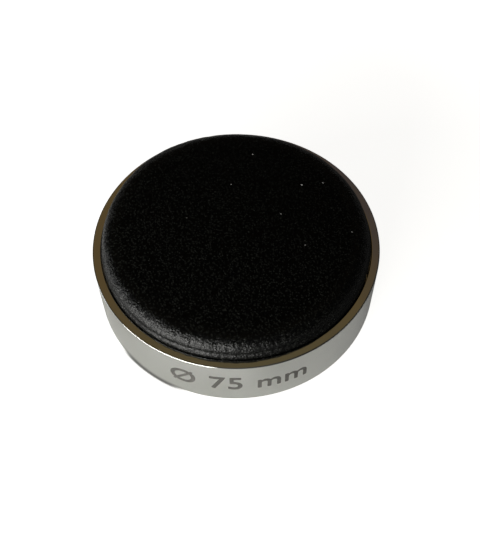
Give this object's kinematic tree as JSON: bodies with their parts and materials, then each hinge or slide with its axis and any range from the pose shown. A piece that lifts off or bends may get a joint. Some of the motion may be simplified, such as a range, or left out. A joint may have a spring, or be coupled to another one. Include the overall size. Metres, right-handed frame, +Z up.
{
  "type": "watchmaker's casing cushion",
  "caption": "Round casing cushion: a heavy polished metal ring holding a slightly domed, leather-covered gel pad that supports a watch while its case is closed.",
  "frame": {"origin": "on the bench under the centre of the cushion, on the foot's lower face", "axes": "+Z up along the turning axis, out of the pad; X and Y lie in the bench's plane"},
  "size_m": [0.075, 0.075, 0.0219],
  "materials": {
    "polished_ring": "turned and polished, with fine concentric lines on the rim",
    "black_leather": "smooth fine-grained leather, satin sheen, small wrinkles round the shoulder",
    "thread": "waxed thread",
    "gel_film": "clear flexible film",
    "gel": "soft clear gel",
    "foam": "firm closed-cell foam",
    "carrier_plastic": "moulded",
    "insert_brass": "turned",
    "screw_steel": "zinc-plated",
    "plate_steel": "turned",
    "adhesive_tape": "double-sided tape",
    "foot_rubber": "fine matt texture"
  },
  "bodies": {
    "root": {"outer_ring": "polished_ring", "leather_cover": "black_leather", "gathering_thread": "thread", "gel_film_upper": "gel_film", "gel_pad": "gel", "gel_film_lower": "gel_film", "foam_layer": "foam", "pad_carrier": "carrier_plastic", "thread_insert_1": "insert_brass", "thread_insert_2": "insert_brass", "thread_insert_3": "insert_brass", "base_screw_1": "screw_steel", "base_screw_2": "screw_steel", "base_screw_3": "screw_steel", "base_plate": "plate_steel", "foot_adhesive": "adhesive_tape", "anti_slip_foot": "foot_rubber"}
  },
  "joints": []
}
